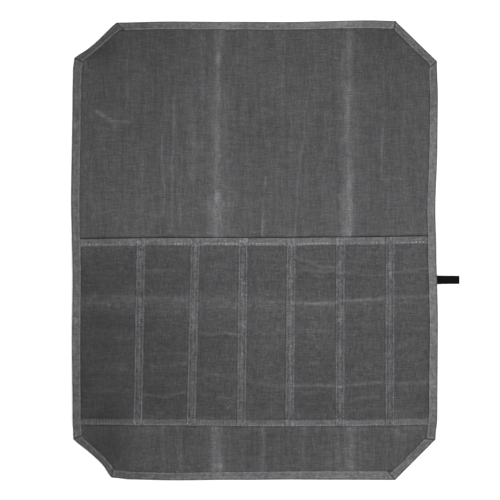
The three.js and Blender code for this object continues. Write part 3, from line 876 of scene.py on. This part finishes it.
# Distance of a strip's stitches from its middle line, the height of its upper end, and how light
# each strip is
STRIP_STITCH = 4.2
STRIP_END = POCKET_DEPTH + 0.2
STRIP_LIGHT = [0.82, 0.93, 0.95, 0.98, 0.975, 0.89]


def strip_seat(x, height):
    y = pocket_y(x, height)
    return pocket_seat(x, y) + pocket_thickness(np.minimum(height, POCKET_DEPTH)) + LAYER_GAP


def strip_wall(offset):
    return between(STRIP_SECTION, offset) * DIVIDER_WALL


def strip_tone(number, height, offset, x, y):
    """Tone of a strip, which is light on its ridges and over the hems, with painted shade across its
    upper end.
    """
    hems = np.maximum(on_lower_hem(height, 0, 1), on_upper_hem(height, 1, 0))
    blotches = 0.09 * lattice_noise(height, offset, 5, 3, 110 + number)
    blotches += 0.09 * lattice_noise(height, offset, 26, 30, 120 + number)
    blotches += 0.42 * lattice_noise(height, offset, 1.7, 1.6, 130 + number)
    plain = between(STRIP_TONES, offset)
    on_hem = between(STRIP_HEM_TONES, offset)
    tone = plain + (on_hem - plain) * hems + blotches * (1 + 0.8 * hems)
    # Painted shade across the strip's upper end, in line with the painted shadow at the pocket's mouth
    tone *= 1 - 0.2 * bell(STRIP_END - height, 0.7)
    tone *= STRIP_LIGHT[number - 1] * (0.55 + 0.45 * patch_tone(x, y, POCKET_LEVELS))
    tone *= eased(STRIP_LEVELS, height)
    return tone * (1 + 0.5 * pocket_marks(x, y))


def divider_strip(number, divider):
    heights = odd(stops((0, 0.4, 0.2), (0.4, 10, 0.8), (10, 223, 1), (223, STRIP_END - 1.2, 0.8),
                        (STRIP_END - 1.2, STRIP_END, 0.2)))
    offsets = np.array([offset for offset, _ in STRIP_SECTION])
    height, offset = np.meshgrid(heights, offsets, indexing="ij")
    wander = 0.18 * lattice_noise(height, offset, 14, 200, 90 + number)
    x = divider_x(divider, height) + offset + wander
    y = pocket_y(x, height)
    bottom = strip_seat(x, height)
    full = np.minimum(rolled(height, 0.5), rolled(STRIP_END - height, 0.5))
    pucker = 0.06 * lattice_noise(height, offset, 3, 2.2, 100 + number)
    top = bottom + (strip_wall(offset) + pucker) * (0.6 + 0.4 * full)
    tone = strip_tone(number, height, offset, x, y)
    cloth = cloth_net(f"strip_tape_{number}", x, y, top, bottom, STRIP_TAPE, tone)
    return cloth


# Binding: its folded section, from the back's inner edge round the outside to the front's and back
# along the inside. Each row is a distance in from the outline, a height, which FRONT_SECTION gives
# as a depth under the top, and the share that it takes of the rise over the pocket panel.
BACK_SECTION = [
    (10.5, 0.45, 0), (10.2, 0.1, 0), (9.6, 0, 0), (8.6, 0.03, 0), (8.1, 0.14, 0), (7.6, 0.03, 0),
    (5, 0, 0), (2, 0, 0), (0.9, 0.2, 0), (0.3, 0.75, 0), (0, 1.6, 0.2),
]
FRONT_SECTION = [
    (0, 1.6, 0.8), (0.25, 0.8, 1), (0.8, 0.22, 1), (1.7, 0, 1), (2.8, 0.04, 1), (4.5, 0.16, 1),
    (6.4, 0.16, 1), (7.4, 0.2, 1), (8.1, 0.36, 1), (8.8, 0.18, 1), (9.6, 0.06, 1),
    (10.15, 0.16, 1), (10.5, 0.55, 1), (10.3, 0.95, 1), (1.6, 1, 1), (1, 1.5, 0.8),
]
INNER_SECTION = [(1, 1.5, 0.2), (1.6, 1, 0), (10.3, 0.95, 0)]
BINDING_SECTION = [
    *BACK_SECTION,
    *((inset, BINDING_TOP - depth, climb) for inset, depth, climb in FRONT_SECTION),
    *INNER_SECTION,
]

# How far a mitre reaches along an edge, how far in the stitches are, and the tape's tone by
# distance in
MITRE_REACH = 14
BINDING_STITCH = 8.9
# Past the tape's width, reached only beside the folds at the corners, the tone stands for the panel's
# darker cloth in painted shade
BINDING_TONES = [
    (0, 0.4), (0.5, 0.52), (1.2, 0.74), (2, 0.93), (3.1, 1.14), (4.3, 1.02), (6.4, 0.92),
    (7.6, 0.95), (8.2, 0.88), (8.8, 0.82), (9.5, 1.2), (10, 1.26), (10.5, 0.9), (11, 0.5),
]

# How light the tape is along each edge, partly painted shade and light that makes the left edges darker
# and the right one lighter, as if lit from the right: share of the edge from its start, tone
EDGE_TONES = {
    "lower": [(0, 0.6), (0.06, 0.63), (0.13, 0.83), (0.3, 0.98), (0.39, 1.21), (0.51, 0.98),
              (0.65, 1.14), (0.75, 1.12), (0.83, 1.25), (0.89, 1.04), (1, 1.08)],
    "lower_right": [(0, 0.94), (1, 0.94)],
    "right": [(0, 0.88), (0.1, 1.12), (0.32, 1.12), (0.4, 1.32), (0.58, 1.33), (0.63, 1.22),
              (0.72, 1.38), (0.82, 1.22), (0.91, 0.88), (1, 0.8)],
    "upper_right": [(0, 0.87), (1, 0.87)],
    "upper": [(0, 1), (0.06, 1.04), (0.17, 1.37), (0.3, 1.12), (0.43, 1.01), (0.5, 1.06),
              (0.59, 1.27), (0.7, 0.98), (0.88, 0.77), (1, 0.74)],
    "upper_left": [(0, 0.5), (1, 0.5)],
    "left": [(0, 0.6), (0.1, 0.78), (0.32, 0.79), (0.54, 0.94), (0.62, 0.81), (0.73, 0.92),
             (0.86, 0.71), (0.94, 0.65), (1, 0.78)],
    "lower_left": [(0, 0.51), (1, 0.51)],
}

# How much lighter each edge's tape is at its inner stitches, and over its inner half
EDGE_LINES = {
    "lower": (0.03, 0.02), "lower_right": (0.05, 0.15), "right": (0.02, 0.13),
    "upper_right": (0.14, 0.03), "upper": (0.08, 0.04), "upper_left": (0.42, 0),
    "left": (0.04, -0.02), "lower_left": (0.14, 0.12),
}

# Way that the tape's fold runs in from the start of each edge: X and Y
TAPE_FOLDS = [
    (0.1, 0.995), (-0.655, 0.756), (-0.995, 0.08), (-0.76, -0.65),
    (-0.15, -0.99), (0.715, -0.7), (0.905, -0.425), (0.915, 0.4),
]

# Share of the tape's width that shows on the front, at each edge's start and at its end
EDGE_SHOWS = {
    "lower": (0.9, 1.04), "lower_right": (0.94, 0.94), "right": (1.01, 0.95), "upper_right": (0.9, 0.9),
    "upper": (0.94, 0.94), "upper_left": (0.96, 0.96), "left": (1.03, 1), "lower_left": (0.98, 0.98),
}


def edge_stations(number):
    """Shares of an edge at which the binding is sampled, close together at its mitres."""
    length = LENGTHS[number]
    near = stops((0, MITRE_REACH, 0.6))
    middle = stops((MITRE_REACH, length - MITRE_REACH, 1.5))
    return np.concatenate([near[:-1], middle, length - near[-2:0:-1]]) / length


def shown(number, end):
    """Share of the tape's width that shows on the front, at an edge's start (0) or end (1)."""
    return EDGE_SHOWS[EDGE_NAMES[number % 8]][end]


def front_mitre(number, inset):
    """As mitre, with the front's own width on the edges before and after."""
    before, after = NORMALS[number - 1], NORMALS[number % 8]
    together = before @ after
    inset = np.asarray(inset, float)[..., None]
    in_before, in_after = inset * shown(number - 1, 1), inset * shown(number, 0)
    along_before = (in_before - in_after * together) / (1 - together ** 2)
    along_after = (in_after - in_before * together) / (1 - together ** 2)
    return STARTS[number % 8] + before * along_before + after * along_after


def front_point(number, share, inset):
    """Point of the binding's front. The inner edge runs straight past a corner's bow."""
    bow = 1 - 0.75 * smooth(inset, 2, BINDING_WIDTH) * ("_" in EDGE_NAMES[number])
    return edge_point(number, share, inset, front_mitre, bow)


def binding_build(x, y):
    """Thickness of pocket panel that the binding closes over at a point of the edge."""
    height = pocket_height(x, y)
    ramp_up = smooth(height, -LAYER_GAP - RAMP_LENGTH, -LAYER_GAP)
    ramp_down = smooth(height, POCKET_DEPTH + LAYER_GAP, POCKET_DEPTH + LAYER_GAP + RAMP_LENGTH)
    return (HEM_WALL + LAYER_GAP) * (ramp_up - ramp_down)


def near_mitre(distance):
    """1 at an end of an edge, and 0 beyond the reach of its mitre."""
    return np.exp(-(distance / MITRE_REACH) ** 4)


def past_fold(corner, point):
    """Distance past the fold at a corner, towards the edge that starts there."""
    fold_x, fold_y = TAPE_FOLDS[corner % 8]
    from_corner = point - STARTS[corner % 8]
    return fold_y * from_corner[..., 0] - fold_x * from_corner[..., 1]


def edge_tone(number, inset, share):
    """Tone of one edge's tape at a distance in from the edge and a share of its length."""
    name = EDGE_NAMES[number % 8]
    line, inner = EDGE_LINES[name]
    light = 1 + line * bell(inset - 9.1, 1.2) + inner * smooth(inset, 3, 7.5)
    return eased(BINDING_TONES, inset) * eased(EDGE_TONES[name], share) * light


def neighbour_tone(number, point, end):
    """Tone that an edge's tape would have at a point past its start (0) or its end (1)."""
    from_corner = point - STARTS[(number + end) % 8]
    inset = from_corner @ NORMALS[number % 8] / shown(number, end)
    return edge_tone(number, inset, end)


def tape_tone(number, point, inset, share):
    """Tone of the tape on an edge. Up to the fold at each corner the other edge's tape goes on, and
    along each fold line the tape carries painted shade.
    """
    own = edge_tone(number, inset, share)
    before, after = neighbour_tone(number - 1, point, 1), neighbour_tone(number + 1, point, 0)
    from_first, from_last = past_fold(number, point), -past_fold(number + 1, point)
    tone = before + (own - before) * smooth(from_first, -0.5, 0.5)
    tone = after + (tone - after) * smooth(from_last, -0.5, 0.5)
    # Painted shade along the fold lines at the corners
    fold_shade = bell(from_first, 0.95) + bell(from_last, 0.95)
    lips = sum(bell(np.abs(away) - 2.2, 0.9) for away in (from_first, from_last))
    near = near_mitre(np.minimum(share, 1 - share) * LENGTHS[number])
    return tone * (1 + (0.32 * lips - 0.68 * fold_shade) * near)


def mitre_lift(number, point):
    """Lift of the tape beside the folds at its corners."""
    lift = 0
    for corner in (number, number + 1):
        past = past_fold(corner, point)
        lift = lift + 0.22 * bell(past - 1.2, 1)
        lift = lift - 0.3 * bell(past, 0.5)
    return lift


def edge_of_tape(number):
    """Points and tones of the binding along one edge: a closed section for each station."""
    insets, levels, climbs = np.array(BINDING_SECTION).T
    share, inset = np.meshgrid(edge_stations(number), insets, indexing="ij")
    run = share * LENGTHS[number]
    outer_x, outer_y = np.moveaxis(edge_point(number, share, 0 * inset), -1, 0)
    waver = 0.22 * lattice_noise(run, run * 0, 11, 1, 130 + number)
    moved = np.clip(inset + waver * smooth(inset, 5, 10), 0, None)
    point = front_point(number, share, moved)
    puffed = 0.1 * lattice_noise(run, inset, 4, 4, 140 + number) * smooth(levels, 2, 3)
    on_top = smooth(levels, BINDING_TOP - 0.9, BINDING_TOP - 0.5)
    near = near_mitre(np.minimum(run, LENGTHS[number] - run))
    fold = mitre_lift(number, point) * on_top * near
    level = levels + climbs * binding_build(outer_x, outer_y) + ride_on_tab(outer_x, outer_y)
    level = level + puffed + fold
    tone = tape_tone(number, point, inset, share)
    tone = tone * (1 + 0.1 * lattice_noise(run, inset, 7, 3, 150 + number))
    tone = tone * (1 + 0.26 * lattice_noise(run, inset, 2.2, 2, 170 + number))
    tone = tone * (1 + 0.1 * lattice_noise(run, inset * 0, 60, 1, 160 + number))
    return np.concatenate([point, level[..., None]], axis=-1), tone


def edge_binding():
    edges = [edge_of_tape(number) for number in range(8)]
    points = np.concatenate([points for points, _ in edges])
    tone = np.concatenate([tone for _, tone in edges])
    closed = np.pad(np.arange(tone.size).reshape(tone.shape), (0, 1), mode="wrap")
    quads = net_quads(closed)[:, [0, 3, 2, 1]].tolist()
    tape = add_mesh("binding_tape", points.reshape(-1, 3), quads, BINDING_TAPE, tone)
    return tape


# Tab of webbing
def webbing_tab():
    edge_x = float(side_x("right", np.array(TAB_MIDDLE), 0.0))
    root, tip = edge_x - TAB_TUCK, edge_x + TAB_REACH
    runs = odd(stops((0, 1, 0.7 / (tip - root))))
    # The sides run towards -Y, so that the net's top faces up
    sides = odd(stops((-1, -0.9, 0.033), (-0.9, 0.9, 0.1), (0.9, 1, 0.033)))[::-1]
    run, side = np.meshgrid(runs, sides, indexing="ij")
    half = TAB_WIDTH / 2 * (ROOT_FLARE + (1 - ROOT_FLARE) * run)
    x = root + (tip - root) * run
    y = TAB_MIDDLE + side * half
    full = rolled((1 - np.abs(side)) * half, 0.7) * (0.4 + 0.6 * rolled((1 - run) * (tip - root), 0.4))
    top = TAB_WALL * (0.5 + 0.5 * full)
    bottom = TAB_WALL * 0.5 * (1 - full)
    tab = cloth_net("webbing_tab", x, y, top, bottom, WEBBING, np.ones(x.shape))
    return tab


# Stitches: the heights of their rows up the pocket panel, how far from its sides the rows along
# the hems stop, and the level of the threads on the back
ROW_START = 1.6
ROW_END = POCKET_DEPTH - 0.4
MOUTH_ROW = POCKET_DEPTH - 7
FOOT_ROW = 1.3
UPRIGHT_ROW = 3.6
ROW_INSET = 16
BACK_LEVEL = 0.12


def capsules(paths, length, radius):
    """Short rounded threads: paths is a list of (middles, directions), both n by 3."""
    sides = 6
    rings = [(-0.5, 0.02), (-0.36, 0.75), (0, 1), (0.36, 0.75), (0.5, 0.02)]
    middles = np.concatenate([middle for middle, _ in paths])
    along = np.concatenate([direction for _, direction in paths])
    along /= np.linalg.norm(along, axis=1)[:, None]
    across = np.cross(np.array([0, 0, 1.0]), along)
    across /= np.linalg.norm(across, axis=1)[:, None]
    up = np.cross(along, across)
    points = []
    for reach, girth in rings:
        for turn in np.linspace(0, 2 * np.pi, sides, endpoint=False):
            side = np.cos(turn) * across + np.sin(turn) * up
            points.append(middles + reach * length * along + girth * radius * side)
    vertices = np.stack(points, axis=1)
    count, each = vertices.shape[:2]
    faces = []
    for first in range(0, each - sides, sides):
        for k in range(sides):
            a, b = first + k, first + (k + 1) % sides
            faces.append([a, b, b + sides, a + sides])
    faces += [list(range(sides))[::-1], list(range(each - sides, each))]
    all_faces = [[number * each + v for v in face] for number in range(count) for face in faces]
    return vertices.reshape(-1, 3), all_faces


def stitch_path(points, pitch):
    """Middles and directions of stitches at a pitch along a line of points."""
    gaps = np.linalg.norm(np.diff(points, axis=0), axis=1)
    run = np.concatenate([[0], np.cumsum(gaps)])
    count = int(run[-1] / pitch)
    places = (np.arange(count) + 0.5) * run[-1] / count

    def sample(at):
        return np.stack([np.interp(at, run, points[:, k]) for k in range(3)], axis=1)

    return sample(places), sample(places + 0.4) - sample(places - 0.4)


def sewn(lines, pitch):
    return [stitch_path(line, pitch) for line in lines]


def turned_upright(middles, directions):
    """The same stitches, turned to point along Y."""
    return middles, np.tile([0.0, 1.0, 0.0], (len(directions), 1))


def strip_rows(count):
    """Offset, heights, X and Y of the two rows of stitches up each strip."""
    heights = np.linspace(ROW_START, ROW_END, count)
    for divider in DIVIDERS:
        for offset in (-STRIP_STITCH, STRIP_STITCH):
            x = divider_x(divider, heights) + offset
            yield offset, heights, x, pocket_y(x, heights)


def strip_lines():
    return [np.column_stack([x, y, strip_seat(x, heights) + strip_wall(offset) + 0.02])
            for offset, heights, x, y in strip_rows(500)]


def hem_places(count):
    return np.linspace(-PANEL_WIDTH / 2 + ROW_INSET, PANEL_WIDTH / 2 - ROW_INSET, count)


def hem_lines(height):
    """Lines of stitches along a hem, each from strip to strip."""
    x = hem_places(900)
    y, bottom, _ = pocket_front(x, np.full(x.shape, float(height)))
    points = np.column_stack([x, y, bottom + pocket_thickness(height) + 0.05])
    covered = from_strips(x, height) < DIVIDER_WIDTH / 2 + 0.6
    runs = np.split(np.arange(len(x)), np.where(np.diff(covered.astype(int)))[0] + 1)
    return [points[run] for run in runs if not covered[run[0]]]


def binding_lines(front):
    """Lines of stitches along the binding, on its front or its back."""
    lines = []
    for number in range(8):
        share = np.linspace(0.3, LENGTHS[number] - 0.3, 400) / LENGTHS[number]
        outer = edge_point(number, share, 0.0)
        lift = ride_on_tab(outer[:, 0], outer[:, 1])
        if front:
            level = BINDING_TOP - 0.3 + lift + binding_build(outer[:, 0], outer[:, 1])
        else:
            level = BACK_LEVEL + lift
        lines.append(np.column_stack([front_point(number, share, BINDING_STITCH), level]))
    return lines


def back_lines():
    """Lines of stitches that come through to the back of the main panel."""
    rows = [(x, y) for _, _, x, y in strip_rows(200)]
    hem_x = hem_places(400)
    rows.append((hem_x, pocket_y(hem_x, ROW_START)))
    return [np.column_stack([x, y, edge_rise(x, y, inset_of(x, y)) + BACK_LEVEL]) for x, y in rows]


def stitch_tones(count, seed, low, high):
    """Tones of stitches one by one: the thread's own variation, and painted glints on the few that are
    near the high end.
    """
    chance = np.random.default_rng(seed).uniform(0, 1, count)
    clusters = 0.5 + 0.5 * lattice_noise(np.arange(count), 0, 6, 1, seed)
    return low + (high - low) * (0.45 * chance ** 2 + 0.55 * clusters ** 2)


def stitches():
    foot = sewn(hem_lines(FOOT_ROW), 3.6)
    upright = [turned_upright(*path) for path in sewn(hem_lines(UPRIGHT_ROW), 3.6)]
    pieces = []
    # Each row has the length, the radius and the darkest and lightest tone of its stitches
    for name, paths, length, radius, low, high in (
        ("stitches_strips", sewn(strip_lines(), 2.95), 1.9, 0.48, 0.75, 2.3),
        ("stitches_mouth", sewn(hem_lines(MOUTH_ROW), 4.3), 2.5, 0.65, 0.6, 3.8),
        ("stitches_foot_left", foot[:2], 2.3, 0.45, 0.8, 1.6),
        ("stitches_foot", foot[2:], 2.3, 0.5, 1, 2.5),
        ("stitches_hem_left", upright[:2], 4.6, 0.34, 0.55, 0.85),
        ("stitches_hem", upright[2:], 4.6, 0.36, 0.65, 1.25),
        ("stitches_binding", sewn(binding_lines(True) + binding_lines(False), 2.6),
         1.6, 0.42, 0.9, 2.2),
        ("stitches_back", sewn(back_lines(), 3.9), 2.9, 0.38, 0.8, 1.4),
    ):
        vertices, faces = capsules(paths, length, radius)
        count = sum(len(middles) for middles, _ in paths)
        tone = np.repeat(stitch_tones(count, len(pieces), low, high), len(vertices) // count)
        pieces.append(add_mesh(name, vertices, faces, THREAD, tone))
    return pieces


def build():
    cloths = [
        (main_panel(), "main_panel", "panel_canvas"),
        (pocket_panel(), "pocket_panel", "pocket_canvas"),
        (edge_binding(), "edge_binding", "binding_tape"),
        (webbing_tab(), "side_tab", "webbing"),
    ]
    for number, divider in enumerate(DIVIDERS, 1):
        cloths.append((divider_strip(number, divider), f"divider_strip_{number}", "strip_tape"))
    for piece, node, slot in cloths:
        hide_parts(node)
    for piece in [piece for piece, _, _ in cloths] + stitches():
        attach(piece, "root")


def stage():
    """White paper, just under the threads of the roll's back."""
    size, level = 4000, -0.35
    corners = [(-size, -size, level), (size, -size, level), (size, size, level), (-size, size, level)]
    floor = add_mesh("floor", corners, [[0, 1, 2, 3]],
                     plain_material("floor_paper", (0.93, 0.93, 0.93), 0.9))


def add_sun(name, strength, angle, elevation, azimuth):
    """A sun of an apparent size, elevation and azimuth in degrees."""
    light = bpy.data.lights.new(name, "SUN")
    light.energy = strength
    light.angle = math.radians(angle)
    lamp = bpy.data.objects.new(name, light)
    lamp.rotation_euler = (math.radians(90 - elevation), 0, math.radians(azimuth))
    bpy.context.scene.collection.objects.link(lamp)


def lights():
    scene = bpy.context.scene
    scene.view_settings.view_transform = "Standard"
    world = bpy.data.worlds.new("studio")
    world.use_nodes = True
    background = world.node_tree.nodes["Background"]
    background.inputs["Color"].default_value = (1, 1, 1, 1)
    background.inputs["Strength"].default_value = 0.68
    scene.world = world
    add_sun("key_light", 1.9, 30, 62, 125)
    add_sun("fill_light", 1.2, 60, 75, -60)


def camera():
    """Straight above the roll: its picture is as wide as framed, at the height of the cloth."""
    lens, sensor, framed, cloth_height = 180, 36, 623.7, 4
    middle_x, middle_y = -5.94, 1.0
    data = bpy.data.cameras.new("camera")
    data.sensor_width = sensor
    data.lens = lens
    data.clip_end = 20
    made = bpy.data.objects.new("camera", data)
    made.location = (middle_x * MM, middle_y * MM, (cloth_height + framed * lens / sensor) * MM)
    bpy.context.scene.collection.objects.link(made)
    bpy.context.scene.camera = made


camera()
build()
stage()
lights()
